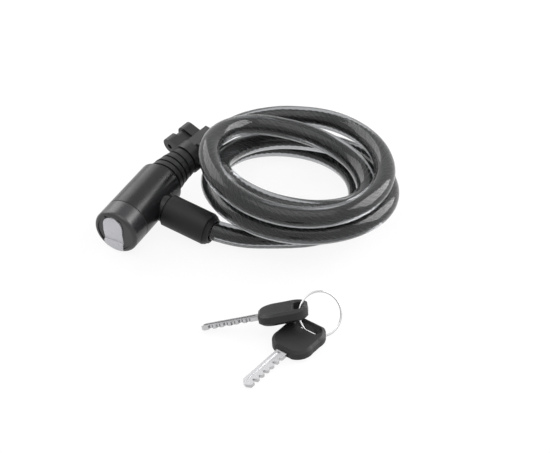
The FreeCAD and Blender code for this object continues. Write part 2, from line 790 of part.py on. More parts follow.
def bracket_body():
    half = bracket_half_width
    corner = bracket_corner
    outline = [(half, -half + corner), (half, half - corner), (half - corner, half), (-half + corner, half),
               (-half, half - corner), (-half, -half + corner), (-half + corner, -half), (half - corner, -half)]
    points = [Vector(x, y, bracket_ring_length - 0.6) for x, y in outline]
    face = Part.Face(Part.makePolygon(points + points[:1]))
    sleeve = face.extrude(Vector(0, 0, bracket_length - bracket_ring_length + 0.6))
    ring = cylinder(bracket_ring_radius, 0, bracket_ring_length)
    horn_centre = Vector(horn_offset_left, horn_offset_up, 0)
    lean = math.degrees(math.atan2(horn_offset_up, horn_offset_left))
    pieces = [ring]
    for place in horn_places:
        low = place - horn_thickness / 2
        high = place + horn_thickness / 2
        pieces.append(cylinder(horn_radius, low, high, centre=horn_centre))
        arm = box((0, horn_centre.Length), (-horn_radius, horn_radius), (low, high))
        arm.rotate(Vector(0, 0, 0), Vector(0, 0, 1), lean)
        pieces.append(arm)
    web = box((0, horn_centre.Length), (-horn_web_radius, horn_web_radius), horn_places)
    web.rotate(Vector(0, 0, 0), Vector(0, 0, 1), lean)
    pieces += [web, cylinder(horn_web_radius, *horn_places, centre=horn_centre)]
    rim = pinch_head_radius + pinch_lug_rim
    lug = box((-pinch_lug_side - rim, -half + corner), (pinch_foot, pinch_height),
              (pinch_place - rim, pinch_place + rim))
    pieces.append(lug)
    body = sleeve.fuse(pieces)
    bore = boot_collar_radius + bracket_bore_clearance
    narrow = cable_radius + bracket_cable_clearance
    collar_depth = boot_collar_length
    mouth_start = bracket_length - bracket_mouth_length
    hollow = revolved((
        (0, -1), (bore, -1), (bore, collar_depth), (narrow, collar_depth + 0.4), (narrow, mouth_start),
        (bracket_mouth_radius, bracket_length), (bracket_mouth_radius, bracket_length + 1),
        (0, bracket_length + 1)))
    strap_bore = cylinder(strap_bore_radius, -1, bracket_length + 1, centre=horn_centre)
    screw_at = Vector(-pinch_lug_side, 0, pinch_place)
    screw_hole = cylinder(pinch_screw_radius + pinch_room, pinch_foot - 1, pinch_height + 1, Y_AXIS, screw_at)
    seat_radius = pinch_head_radius + pinch_room
    head_seat = cylinder(seat_radius, pinch_height - pinch_head_length, pinch_height + 1, Y_AXIS, screw_at)
    nut_seat = cylinder(seat_radius, -half, pinch_foot + pinch_head_length, Y_AXIS, screw_at)
    return body.cut([hollow, strap_bore, screw_hole, head_seat, nut_seat]).removeSplitter()


def pinch_screw():
    screw_at = Vector(-pinch_lug_side, 0, pinch_place)
    seat = pinch_height - pinch_head_length
    shank = cylinder(pinch_screw_radius, pinch_foot + 0.2, seat, Y_AXIS, screw_at)
    head = cylinder(pinch_head_radius, seat, pinch_height - 0.2, Y_AXIS, screw_at)
    half = pinch_drive_width / 2
    drive = box((-pinch_lug_side - half, -pinch_lug_side + half), (pinch_height - 1, pinch_height),
                (pinch_place - pinch_head_radius, pinch_place + pinch_head_radius))
    return shank.fuse(head).cut(drive).removeSplitter()


def pinch_nut():
    foot = pinch_foot + 0.2
    seat = pinch_foot + pinch_head_length
    corners = [Vector(-pinch_lug_side + pinch_head_radius * math.cos(math.radians(60 * i)), foot,
                      pinch_place + pinch_head_radius * math.sin(math.radians(60 * i))) for i in range(6)]
    face = Part.Face(Part.makePolygon(corners + corners[:1]))
    body = face.extrude(Vector(0, seat - foot, 0))
    return body.cut(cylinder(pinch_screw_radius, foot - 1, seat + 1, Y_AXIS,
                             Vector(-pinch_lug_side, 0, pinch_place)))


# Key in its own frame: X to the blade's tip, Y across, Z through the thickness, origin where blade meets head.
def key_blade():
    back = -key_edge_back
    edge = key_edge_cut
    cut_side = []
    for i, depth in enumerate(key_cut_depths):
        centre = key_cut_first + i * key_cut_pitch
        cut_side += [Vector(centre - key_cut_top, edge, 0), Vector(centre - key_cut_floor, edge - depth, 0),
                     Vector(centre + key_cut_floor, edge - depth, 0), Vector(centre + key_cut_top, edge, 0)]
    outline = [Vector(-key_tang_length, back, 0), Vector(-key_tang_length, edge, 0)] + cut_side
    outline += [Vector(key_blade_length - key_tip_cut / 2, edge, 0), Vector(key_blade_length, edge - key_tip_cut, 0),
                Vector(key_blade_length, back + key_tip_cut, 0), Vector(key_blade_length - key_tip_cut, back, 0)]
    face = Part.Face(Part.makePolygon(outline + outline[:1]))
    body = face.extrude(Vector(0, 0, key_blade_thickness))
    body.translate(Vector(0, 0, -key_blade_thickness / 2))
    top = key_blade_thickness / 2
    across = (key_groove_middle - key_groove_width / 2, key_groove_middle + key_groove_width / 2)
    upper = box((key_groove_start, key_blade_length + 1), across, (top - key_groove_depth, top + 1))
    lower = box((key_groove_start, key_blade_length + 1), across, (-top - 1, -top + key_groove_depth))
    return body.cut([upper, lower])


def key_head(blade):
    """Moulded head: a rounded shield with a bevelled edge and a long slot for the ring."""
    edge = key_head_edge
    top = key_head_thickness / 2
    body = head_outline(0.0, top - edge, -(top - edge))
    for sign in (1, -1):
        low = head_outline_wire(0.0, sign * (top - edge))
        high = head_outline_wire(edge, sign * top)
        body = body.fuse(Part.makeLoft([low, high], True, True))
    slot_radius = key_slot_width / 2
    slot_face = Part.Face(slot_wire(slot_radius, -top - 1))
    slot = slot_face.extrude(Vector(0, 0, 2 * top + 2))
    beyond = key_slot_bevel + 0.1
    mouths = [Part.makeLoft([slot_wire(slot_radius, sign * (top - key_slot_bevel)),
                             slot_wire(slot_radius + beyond, sign * (top + 0.1))], True, True) for sign in (1, -1)]
    return body.cut([slot, blade] + mouths).removeSplitter()


def slot_wire(radius, z):
    """Outline of the ring's slot, straight sides between two round ends."""
    half = (key_slot_length - key_slot_width) / 2
    near = key_slot_x + radius
    far = key_slot_x - radius
    edges = [Part.LineSegment(Vector(near, -half, z), Vector(near, half, z)),
             Part.Arc(Vector(near, half, z), Vector(key_slot_x, half + radius, z), Vector(far, half, z)),
             Part.LineSegment(Vector(far, half, z), Vector(far, -half, z)),
             Part.Arc(Vector(far, -half, z), Vector(key_slot_x, -half - radius, z), Vector(near, -half, z))]
    return Part.Wire([edge.toShape() for edge in edges])


def head_outline_wire(inset, z):
    """Outline of the key's head: a straight shoulder at the blade, wide rounded sides and a bowed end."""
    half = key_head_width / 2 - inset
    near = -inset
    far = -key_head_length + inset
    shoulder = key_shoulder_width / 2 - inset
    end_half = key_end_width / 2 - inset
    diagonal = math.sqrt(0.5)
    corner_x = key_corner - inset
    turn_at = far + corner_x
    side_middle = Vector(near - corner_x * (1 - diagonal), shoulder + (half - shoulder) * diagonal, z)
    arc_one = Part.Arc(Vector(near, shoulder, z), side_middle, Vector(near - corner_x, half, z))
    end_middle = Vector(turn_at - corner_x * diagonal, end_half + (half - end_half) * diagonal, z)
    arc_two = Part.Arc(Vector(turn_at, half, z), end_middle, Vector(far, end_half, z))
    flip = FreeCAD.Placement(Vector(0, 0, 2 * z), FreeCAD.Rotation(Vector(1, 0, 0), 180))
    upper = [arc_one.toShape(), Part.LineSegment(Vector(near - corner_x, half, z),
                                                 Vector(turn_at, half, z)).toShape(), arc_two.toShape()]
    lower = []
    for edge in upper:
        mirrored = edge.copy()
        mirrored.Placement = flip.multiply(mirrored.Placement)
        lower.append(mirrored)
    closing = [Part.LineSegment(Vector(near, shoulder, z), Vector(near, -shoulder, z)).toShape(),
               Part.LineSegment(Vector(far, end_half, z), Vector(far, -end_half, z)).toShape()]
    return Part.Wire(Part.__sortEdges__(upper + lower + closing))


def head_outline(inset, high, low):
    face = Part.Face(head_outline_wire(inset, low))
    return face.extrude(Vector(0, 0, high - low))


def key_matrix(slot_place, aim, tilt):
    """Frame of a key with its slot at a place, its blade along aim and its near edge raised by a tilt."""
    along = unit(aim)
    place = slot_place - along * key_slot_x
    across = unit(Vector(0, 0, 1).cross(along))
    through = along.cross(across)
    angle = math.radians(tilt)
    turned_across = across * math.cos(angle) + through * math.sin(angle)
    return frame_matrix(along, turned_across, along.cross(turned_across), place)


# Ring: one turn of wire through both slots, its lowest point on the ground.
ring_normal = unit(ring_facing)
ring_height = ring_radius * math.sqrt(1 - ring_normal.z ** 2) + ring_wire_radius
ring_centre = Vector(ring_centre_x, ring_centre_y, ring_height)


def key_ring():
    return Part.makeTorus(ring_radius, ring_wire_radius, ring_centre, ring_normal)


def ring_crossing(matrix):
    """Where the wire passes through the middle plane of a key at its slot, and its direction there."""
    slot = matrix.multiply(Vector(key_slot_x, 0, 0))
    plane_normal = unit(matrix.multiply(Vector(key_slot_x, 0, 1)) - slot)
    across_ring = unit(ring_normal.cross(plane_normal))
    down_ring = ring_normal.cross(across_ring)
    sine = (slot - ring_centre).dot(plane_normal) / (ring_radius * down_ring.dot(plane_normal))
    crossings = []
    for angle in (math.asin(sine), math.pi - math.asin(sine)):
        point = ring_centre + (across_ring * math.cos(angle) + down_ring * math.sin(angle)) * ring_radius
        tangent = down_ring * math.cos(angle) - across_ring * math.sin(angle)
        crossings.append(((point - slot).Length, point, tangent))
    nearest = min(crossings, key=lambda crossing: crossing[0])
    return nearest[1:]


lead_tube = lead_route.tube(cable_radius, "lead")
coil_tube = coil.tube(cable_radius, "coil")
tail_tube = tail_route.tube(cable_radius, "tail")
blade = key_blade()
head_of_key = key_head(blade)
key_one = key_matrix(key_one_slot, key_one_aim, key_one_roll)
key_two = key_matrix(key_two_slot, key_two_aim, key_two_roll)

in_face = {
    "front_cap": front_cap(),
    "flap": flap(),
    "flap_pin": flap_pin(),
    "cap_pin": cap_pin(),
    "lock_case": lock_case(),
    "key_plug": key_plug(),
    "wafers": wafers(),
}
in_head = {
    "head_shell": head_shell(),
    "rear_block": rear_block(),
    "cam": cam(),
    "latch": latch(),
    "head_ferrule": head_ferrule(),
    "anchor_pin": anchor_pin(),
    "head_rope_end": rope_stub(head_ferrule_start, head_ferrule_step),
    "bolt_pin": bolt_pin(),
    "seal_ring": seal_ring(),
    "bolt_ferrule": bolt_ferrule(),
    "bolt_rope_end": turned_to_x(rope_stub(bolt_tail_x, bolt_ferrule_step)),
    "bolt_sleeve": bolt_sleeve(),
    "sleeve_collar": sleeve_collar(),
}
nodes = {name: placed(shape, face_matrix) for name, shape in in_face.items()}
nodes.update({name: placed(shape, head_matrix) for name, shape in in_head.items()})
nodes["boot"] = boot(lead_tube)
nodes["bracket_body"] = placed(bracket_body(), bracket_matrix)
nodes["pinch_screw"] = placed(pinch_screw(), bracket_matrix)
nodes["pinch_nut"] = placed(pinch_nut(), bracket_matrix)
nodes["key_1_blade"] = placed(blade, key_one)
nodes["key_1_head"] = placed(head_of_key, key_one)
nodes["key_2_blade"] = placed(blade, key_two)
nodes["key_2_head"] = placed(head_of_key, key_two)
nodes["key_ring"] = key_ring()
cord_names = ("cable_lead", "cable_coil", "cable_tail")
cord = dict(zip(cord_names, (lead_tube, coil_tube, tail_tube)))

# Origin: bottom centre of the box round everything but the cable.
boxes = [shape.optimalBoundingBox(False, False) for shape in nodes.values()]
low = Vector(min(b.XMin for b in boxes), min(b.YMin for b in boxes), min(b.ZMin for b in boxes))
high = Vector(max(b.XMax for b in boxes), max(b.YMax for b in boxes), max(b.ZMax for b in boxes))
shift = Vector(-(low.x + high.x) / 2, -(low.y + high.y) / 2, 0)
print("box without the cable", low, high)
print("shift", shift)

os.makedirs("parts", exist_ok=True)
nodes.update(cord)
for name, shape in nodes.items():
    moved = shape.copy()
    moved.translate(shift)
    moved.exportStep(f"parts/{name}.step")
    bounds = shape.optimalBoundingBox(False, False)
    sound = f"solids {len(shape.Solids)} valid {shape.isValid()}"
    print(f"{name:16s} {sound} volume {shape.Volume:9.1f} low z {bounds.ZMin:6.2f}")

# Places and axes of what turns, slides or joins to another thing, in metres.
def told(name, point, axis):
    place = (point + shift) * 0.001
    print(f"{name}: place [{place.x:.6f}, {place.y:.6f}, {place.z:.6f}] "
          f"axis [{axis.x:.6f}, {axis.y:.6f}, {axis.z:.6f}]")


told("flap hinge", face_matrix.multiply(hinge_centre), hinge_axis)
told("key plug", on_head(0, 0, plug_front), barrel_axis)
told("latch", on_head(0, 0, latch_start), across_axis)
told("bolt end", on_head(0, 0, bolt_axis_depth), socket_axis)
told("bracket", bracket_origin, run_axis)
strap_middle = bracket_matrix.multiply(Vector(horn_offset_left, horn_offset_up, sum(horn_places) / 2))
told("strap bore", strap_middle, run_axis)
told("keyway", on_head(0, 0, plug_front), barrel_axis * -1)
told("exit", on_head(0, 0, head_length), barrel_axis)
told("sleeve end", on_head(sleeve_end_x, 0, bolt_axis_depth), socket_axis)
told("key one", *ring_crossing(key_one))
told("key two", *ring_crossing(key_two))
told("ring", ring_centre, ring_normal)
for point in lead_points + tail_points:
    print("cable point", point + shift)
print(f"latch travel {latch_travel():.4f} mm, ratio {latch_travel() / 1000 / math.radians(cam_turn):.6f} m per rad")
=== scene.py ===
"""Keyed coiled cable lock, closed: clear-jacketed steel cable, lock head, frame bracket and two keys."""
import math

import bpy
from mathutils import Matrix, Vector


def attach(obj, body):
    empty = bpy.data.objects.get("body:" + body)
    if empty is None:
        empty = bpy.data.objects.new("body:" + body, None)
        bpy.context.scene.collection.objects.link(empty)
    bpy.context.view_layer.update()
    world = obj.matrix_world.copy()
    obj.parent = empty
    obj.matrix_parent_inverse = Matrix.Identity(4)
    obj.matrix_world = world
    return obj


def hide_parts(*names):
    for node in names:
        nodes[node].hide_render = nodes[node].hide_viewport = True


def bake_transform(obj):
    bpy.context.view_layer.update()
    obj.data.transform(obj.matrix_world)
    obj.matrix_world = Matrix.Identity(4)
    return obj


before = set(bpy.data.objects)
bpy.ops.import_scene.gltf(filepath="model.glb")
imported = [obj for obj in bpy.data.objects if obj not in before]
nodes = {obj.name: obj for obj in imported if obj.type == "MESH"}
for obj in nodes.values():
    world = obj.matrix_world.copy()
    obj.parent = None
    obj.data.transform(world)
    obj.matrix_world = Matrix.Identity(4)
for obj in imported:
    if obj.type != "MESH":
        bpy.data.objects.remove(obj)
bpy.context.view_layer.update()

# Camera: at the photograph's angle, 35 degrees above the ground and 0.9 m from the lock.
# The lay is the place of the picture's middle in the part's own frame.
lay = Vector((0.032656, 0.040493, 0.0))
camera_height = math.radians(35.0)
camera_distance = 0.9
camera_data = bpy.data.cameras.new("camera")
camera_data.sensor_width = 36.0
camera_data.lens = 102.1
camera_data.clip_start = 0.01
camera = bpy.data.objects.new("camera", camera_data)
bpy.context.scene.collection.objects.link(camera)
away = Vector((0.0, -math.cos(camera_height), math.sin(camera_height)))
camera.location = lay + away * camera_distance
camera.rotation_euler = (math.pi / 2 - camera_height, 0.0, 0.0)
bpy.context.scene.camera = camera

# Cable route: one length of 12 mm cable, straight out of the head's anchor through boot and bracket, round the coil
# that it was set to when it was made, and up into the bolt's sleeve. Places are on its centreline, in metres from
# the picture's middle. The coil is given by its outermost reaches: back, right, front and left of each turn.
cable_diameter = 0.012
lead_places = [
    (-0.06846, 0.01277, 0.01839), (-0.06038, 0.02798, 0.02005),
    (-0.0439, 0.0448, 0.0253), (-0.0351, 0.0526, 0.0279)]
coil_reaches = [
    (0.0090, 0.0714, 0.0316), (0.0628, 0.0130, 0.0321), (0.0140, -0.0425, 0.0358), (-0.0375, 0.0111, 0.0435),
    (-0.0030, 0.0544, 0.0349), (0.0524, 0.0080, 0.0228), (0.0160, -0.0256, 0.0291), (-0.0316, 0.0164, 0.0309),
    (0.0100, 0.0639, 0.0196), (0.0654, 0.0094, 0.0193), (0.0160, -0.0391, 0.0223), (-0.0372, 0.0216, 0.0174),
    (0.0000, 0.0772, 0.0060), (0.0490, 0.0280, 0.0060), (0.0080, -0.0210, 0.0065)]
reach_slopes = {6: 0.092, 7: -0.258, 8: -0.045, 10: 0.019, 11: -0.275, 12: 0.0, 13: 0.0}
reach_headings = [(1.0, 0.0), (0.0, -1.0), (-1.0, 0.0), (0.0, 1.0)]
tail_places = [(-0.02721, -0.0210, 0.00699), (-0.04759, -0.01066, 0.01149)]
turn_over_chord = 1.11
points_per_quarter = 4
quarter_handle = 1.1716
outward_share = 0.125
spline_steps = 8
line_step = 0.0015

lead_points = [lay + Vector(place) for place in lead_places]
tail_points = [lay + Vector(place) for place in tail_places]
stations = [lead_points[-1]] + [lay + Vector(reach) for reach in coil_reaches]
headings = [(stations[0] - lead_points[-2]).normalized()]
for i in range(1, len(coil_reaches)):
    chords = (stations[i] - stations[i - 1]).length + (stations[i + 1] - stations[i]).length
    even_slope = (stations[i + 1].z - stations[i - 1].z) / (turn_over_chord * chords)
    slope = reach_slopes.get(i - 1, even_slope)
    headings.append(Vector((*reach_headings[(i - 1) % 4], slope)).normalized())
headings.append((tail_points[0] - stations[-1]).normalized())


def along_turn(i, share):
    """Place on the coil between two of its outermost reaches."""
    p, q = stations[i], stations[i + 1]
    handle = (q - p).length * quarter_handle
    place = p * (2 * share ** 3 - 3 * share ** 2 + 1)
    place += headings[i] * handle * (share ** 3 - 2 * share ** 2 + share)
    place += q * (3 * share ** 2 - 2 * share ** 3)
    place += headings[i + 1] * handle * (share ** 3 - share ** 2)
    return place


turn_places = []
for i in range(len(stations) - 1):
    turn_places += [along_turn(i, k / points_per_quarter) for k in range(points_per_quarter)]
turn_places.append(stations[-1])
coil_points = [turn_places[0]]
for before, here, after in zip(turn_places, turn_places[1:], turn_places[2:]):
    coil_points.append(here + (here * 2 - before - after) * outward_share)
coil_points.append(turn_places[-1])
route_points = lead_points[:-1] + coil_points + tail_points

route_data = bpy.data.curves.new("cable_route", "CURVE")
route_data.dimensions = "3D"
route_data.resolution_u = spline_steps
route_spline = route_data.splines.new("NURBS")
route_spline.points.add(len(route_points) - 1)
for point, place in zip(route_spline.points, route_points):
    point.co = (*place, 1.0)
route_spline.order_u = 3
route_spline.use_endpoint_u = True
route = bpy.data.objects.new("cable_route", route_data)
bpy.context.scene.collection.objects.link(route)
bpy.context.view_layer.update()
route_mesh = bpy.data.meshes.new_from_object(route)
spline_line = [vertex.co.copy() for vertex in route_mesh.vertices]
bpy.data.objects.remove(route)
bpy.data.meshes.remove(route_mesh)


def evenly(line, step):
    """The same line with points an even step apart, and its length."""
    run = [0.0]
    for p, q in zip(line, line[1:]):
        run.append(run[-1] + (q - p).length)
    count = round(run[-1] / step)
    places, i = [], 0
    for k in range(count + 1):
        reach = run[-1] * k / count
        while i < len(line) - 2 and run[i + 1] < reach:
            i += 1
        share = (reach - run[i]) / max(run[i + 1] - run[i], 1e-9)
        places.append(line[i].lerp(line[i + 1], min(share, 1.0)))
    return places, run[-1]


cable_line, cable_length = evenly(spline_line, line_step)
tail_length = 0.082
split = len(cable_line) - 1 - round(tail_length / line_step)
split_share = split / (len(cable_line) - 1)


# Scuffs: a gloss that drifts between two levels, as on plastic and metal that has been handled.
def group(name, inputs, output):
    tree = bpy.data.node_groups.new(name, "ShaderNodeTree")
    for label, value in inputs:
        socket = tree.interface.new_socket(label, in_out="INPUT", socket_type="NodeSocketFloat")
        socket.default_value = value
    tree.interface.new_socket(output, in_out="OUTPUT", socket_type="NodeSocketFloat")
    return tree, tree.nodes.new("NodeGroupInput"), tree.nodes.new("NodeGroupOutput")


scuff, scuff_in, scuff_out = group("scuffs", [("Scale", 90.0), ("Low", 0.35), ("High", 0.5)], "Roughness")
scuff_place = scuff.nodes.new("ShaderNodeTexCoord")
scuff_noise = scuff.nodes.new("ShaderNodeTexNoise")
scuff_noise.inputs["Detail"].default_value = 6.0
scuff_noise.inputs["Roughness"].default_value = 0.7
scuff_range = scuff.nodes.new("ShaderNodeMapRange")
scuff_range.inputs["From Min"].default_value = 0.35
scuff_range.inputs["From Max"].default_value = 0.65
scuff.links.new(scuff_place.outputs["Object"], scuff_noise.inputs["Vector"])
scuff.links.new(scuff_in.outputs["Scale"], scuff_noise.inputs["Scale"])
scuff.links.new(scuff_noise.outputs["Fac"], scuff_range.inputs["Value"])
scuff.links.new(scuff_in.outputs["Low"], scuff_range.inputs["To Min"])
scuff.links.new(scuff_in.outputs["High"], scuff_range.inputs["To Max"])
scuff.links.new(scuff_range.outputs["Result"], scuff_out.inputs["Roughness"])


def bare_material(name):
    """A new material with its tree and its shader."""
    material = bpy.data.materials.new(name)
    material.use_nodes = True
    return material, material.node_tree, material.node_tree.nodes["Principled BSDF"]


def scuffed(tree, shader, low, high, scale=None):
    """Puts the scuffs on a material's roughness."""
    wear = tree.nodes.new("ShaderNodeGroup")
    wear.node_tree = scuff
    wear.inputs["Low"].default_value = low
    wear.inputs["High"].default_value = high
    if scale:
        wear.inputs["Scale"].default_value = scale
    tree.links.new(wear.outputs["Roughness"], shader.inputs["Roughness"])


# Jacket: clear PVC tinted smoke grey, drawn over the rope as a glossy tube and faintly hazed from handling.
# One piece stays with the head, and the last stretch is a piece of its own.
jacket_radius = cable_diameter / 2
jacket_sides = 28


def jacket(name, first, last, closed_start, closed_end):
    """Round tube over a stretch of the cable's line, closed where the cable ends."""
    points, faces = [], []
    side = None
    for i, place in enumerate(cable_line[:last + 1]):
        ahead = (cable_line[min(i + 1, len(cable_line) - 1)] - cable_line[max(i - 1, 0)]).normalized()
        if side is None:
            side = ahead.orthogonal().normalized()
        side = (side - ahead * side.dot(ahead)).normalized()
        up = ahead.cross(side)
        if i < first:
            continue
        for k in range(jacket_sides):
            turn = 2 * math.pi * k / jacket_sides
            points.append(place + side * (jacket_radius * math.cos(turn)) + up * (jacket_radius * math.sin(turn)))
    for start in range(0, len(points) - jacket_sides, jacket_sides):
        for k in range(jacket_sides):
            n = (k + 1) % jacket_sides
            faces.append((start + k, start + n, start + jacket_sides + n, start + jacket_sides + k))
    if closed_start:
        faces.append(range(jacket_sides - 1, -1, -1))
    if closed_end:
        faces.append(range(len(points) - jacket_sides, len(points)))
    data = bpy.data.meshes.new(name)
    data.from_pydata([tuple(p) for p in points], [], [tuple(face) for face in faces])
    data.shade_smooth()
    data.materials.append(clear_jacket)
    piece = bpy.data.objects.new(name, data)
    bpy.context.scene.collection.objects.link(piece)
    return piece


clear_jacket, jacket_tree, jacket_shader = bare_material("clear_smoke_jacket")
jacket_shader.inputs["Base Color"].default_value = (0.37, 0.38, 0.39, 1.0)
jacket_shader.inputs["Transmission Weight"].default_value = 0.97
jacket_shader.inputs["IOR"].default_value = 1.42
jacket_shader.inputs["Specular IOR Level"].default_value = 0.25
scuffed(jacket_tree, jacket_shader, 0.10, 0.17, scale=70.0)
cable_jacket = jacket("cable_jacket", 0, split, True, False)
tail_jacket = jacket("tail_jacket", split, len(cable_line) - 1, False, True)
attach(cable_jacket, "head")
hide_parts("cable_lead", "cable_coil")
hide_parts("cable_tail")
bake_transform(tail_jacket)

# Rope: six wire strands laid right-handed round a core, dark with oil, seen through the jacket as slanting lines.
# The strands run on the cable's own line, and one tree lays them for the coil and for the tail.
strand_count = 6
strand_radius = 0.00098
strand_circle = 0.00190
lay_length = 0.024
strand_sides = 8

rope_steel, rope_tree, rope_shader = bare_material("dark_rope_steel")
rope_shader.inputs["Base Color"].default_value = (0.006, 0.006, 0.007, 1.0)
rope_shader.inputs["Specular IOR Level"].default_value = 0.22
scuffed(rope_tree, rope_shader, 0.38, 0.55, scale=120.0)

laid_rope = bpy.data.node_groups.new("laid_rope", "GeometryNodeTree")
laid_rope.interface.new_socket("Line", in_out="INPUT", socket_type="NodeSocketGeometry")
rope_sockets = {}
for label, kind in (("Strands", "Int"), ("Strand Radius", "Float"), ("Strand Circle", "Float"),
                    ("Lay Length", "Float"), ("From", "Float"), ("To", "Float"), ("Steel", "Material")):
    socket = laid_rope.interface.new_socket(label, in_out="INPUT", socket_type="NodeSocket" + kind)
    rope_sockets[label] = socket.identifier
laid_rope.interface.new_socket("Rope", in_out="OUTPUT", socket_type="NodeSocketGeometry")


def rope_node(kind, *wires, **settings):
    """Adds a node to the rope's tree, with its settings and its wires from outputs to inputs."""
    node = laid_rope.nodes.new(kind)
    for key, value in settings.items():
        setattr(node, key, value)
    for output, socket in wires:
        laid_rope.links.new(output, node.inputs[socket])
    return node.outputs


def rope_math(operation, *values):
    wires = [(value, i) for i, value in enumerate(values)]
    return rope_node("ShaderNodeMath", *wires, operation=operation)[0]


def rope_vector(operation, first, second, socket=1):
    return rope_node("ShaderNodeVectorMath", (first, 0), (second, socket), operation=operation)[0]


given = rope_node("NodeGroupInput")
strands = rope_node("GeometryNodeDuplicateElements", (given["Line"], "Geometry"), (given["Strands"], "Amount"),
                    domain="SPLINE")
run = rope_node("GeometryNodeSplineParameter")["Length"]
full_turn = rope_node("ShaderNodeValue")[0]
full_turn.default_value = 2 * math.pi
turns = rope_math("ADD", rope_math("DIVIDE", strands["Duplicate Index"], given["Strands"]),
                  rope_math("DIVIDE", run, given["Lay Length"]))
angle = rope_math("MULTIPLY", turns, full_turn)
outward = rope_node("GeometryNodeInputNormal")["Normal"]
ahead = rope_node("GeometryNodeInputTangent")["Tangent"]
sideways = rope_vector("CROSS_PRODUCT", ahead, outward)
reach_out = rope_math("MULTIPLY", rope_math("COSINE", angle), given["Strand Circle"])
reach_side = rope_math("MULTIPLY", rope_math("SINE", angle), given["Strand Circle"])
offset = rope_vector("ADD", rope_vector("SCALE", outward, reach_out, "Scale"),
                     rope_vector("SCALE", sideways, reach_side, "Scale"))
laid = rope_node("GeometryNodeSetPosition", (strands["Geometry"], "Geometry"), (offset, "Offset"))[0]
all_lines = rope_node("GeometryNodeJoinGeometry", (laid, 0), (given["Line"], 0))[0]
stretch = rope_node("GeometryNodeTrimCurve", (all_lines, "Curve"), (given["From"], "Start"), (given["To"], "End"),
                    mode="FACTOR")
strand_round = laid_rope.nodes.new("GeometryNodeCurvePrimitiveCircle")
strand_round.inputs["Resolution"].default_value = strand_sides
laid_rope.links.new(given["Strand Radius"], strand_round.inputs["Radius"])
skinned = laid_rope.nodes.new("GeometryNodeCurveToMesh")
skinned.inputs["Fill Caps"].default_value = True
laid_rope.links.new(stretch["Curve"], skinned.inputs["Curve"])
laid_rope.links.new(strand_round.outputs["Curve"], skinned.inputs["Profile Curve"])
real = rope_node("GeometryNodeRealizeInstances", (skinned.outputs["Mesh"], "Geometry"))[0]
steeled = rope_node("GeometryNodeSetMaterial", (real, "Geometry"), (given["Steel"], "Material"))[0]
rope_node("NodeGroupOutput", (steeled, "Rope"))


def rope(name, start_share, end_share):
    """One body's stretch of the rope as a plain mesh, from and to shares of the cable's length."""
    line_data = bpy.data.curves.new(name + "_line", "CURVE")
    line_data.dimensions = "3D"
    line_spline = line_data.splines.new("POLY")
    line_spline.points.add(len(cable_line) - 1)
    for point, place in zip(line_spline.points, cable_line):
        point.co = (*place, 1.0)
    line = bpy.data.objects.new(name + "_line", line_data)
    bpy.context.scene.collection.objects.link(line)
    strands_on = line.modifiers.new("strands", "NODES")
    strands_on.node_group = laid_rope
    sizes = {"Strands": strand_count, "Strand Radius": strand_radius, "Strand Circle": strand_circle,
             "Lay Length": lay_length, "From": start_share, "To": end_share, "Steel": rope_steel}
    for label, value in sizes.items():
        strands_on[rope_sockets[label]] = value
    depsgraph = bpy.context.evaluated_depsgraph_get()
    piece = bpy.data.objects.new(name, bpy.data.meshes.new_from_object(line.evaluated_get(depsgraph)))
    bpy.context.scene.collection.objects.link(piece)
    bpy.data.objects.remove(line)
    return piece


cable_rope = rope("cable_rope", 0.0, split_share)
tail_rope = rope("tail_rope", split_share, 1.0)
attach(cable_rope, "head")
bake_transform(tail_rope)
print(f"cable length {cable_length:.4f} m")


# Head: a drawn steel shell and a moulded cap, both satin black, the cap with the finer and glossier skin.
# The plastic sleeve of the cable's free end plugs into its side. The pins of flap and cap are blackened.
grain, grain_in, grain_out = group("fine_grain", [("Scale", 2500.0)], "Height")
grain_place = grain.nodes.new("ShaderNodeTexCoord")
grain_noise = grain.nodes.new("ShaderNodeTexNoise")
grain_noise.inputs["Detail"].default_value = 3.0
grain_size = grain.nodes.new("ShaderNodeMath")
grain_size.operation = "MULTIPLY"
grain_size.inputs[1].default_value = 0.3
grain.links.new(grain_place.outputs["Object"], grain_noise.inputs["Vector"])
grain.links.new(grain_in.outputs["Scale"], grain_noise.inputs["Scale"])
grain.links.new(grain_noise.outputs["Fac"], grain_size.inputs[0])
grain.links.new(grain_size.outputs["Value"], grain_out.inputs["Height"])


def finish(name, colour, low, high, grain_scale=0.0, grain_depth=0.0, metal=0.0, tint=0.0, shine=0.5):
    """Surface finish with scuffed gloss, an optional moulded grain and a slight drift of tone."""
    material, tree, shader = bare_material(name)
    shader.inputs["Metallic"].default_value = metal
    shader.inputs["Specular IOR Level"].default_value = shine
    scuffed(tree, shader, low, high)
    place = tree.nodes.new("ShaderNodeTexCoord")
    drift = tree.nodes.new("ShaderNodeTexNoise")
    drift.inputs["Scale"].default_value = 60.0
    drift.inputs["Detail"].default_value = 4.0
    ramp = tree.nodes.new("ShaderNodeValToRGB")
    for element, position, tone in zip(ramp.color_ramp.elements, (0.3, 0.7), (1 - tint, 1 + tint)):
        element.position = position
        element.color = (*[c * tone for c in colour], 1.0)
    tree.links.new(place.outputs["Object"], drift.inputs["Vector"])
    tree.links.new(drift.outputs["Fac"], ramp.inputs["Fac"])
    tree.links.new(ramp.outputs["Color"], shader.inputs["Base Color"])
    if grain_depth:
        skin = tree.nodes.new("ShaderNodeGroup")
        skin.node_tree = grain
        skin.inputs["Scale"].default_value = grain_scale
        bump = tree.nodes.new("ShaderNodeBump")
        bump.inputs["Strength"].default_value = grain_depth
        bump.inputs["Distance"].default_value = 0.0002
        tree.links.new(skin.outputs["Height"], bump.inputs["Height"])
        tree.links.new(bump.outputs["Normal"], shader.inputs["Normal"])
    return material


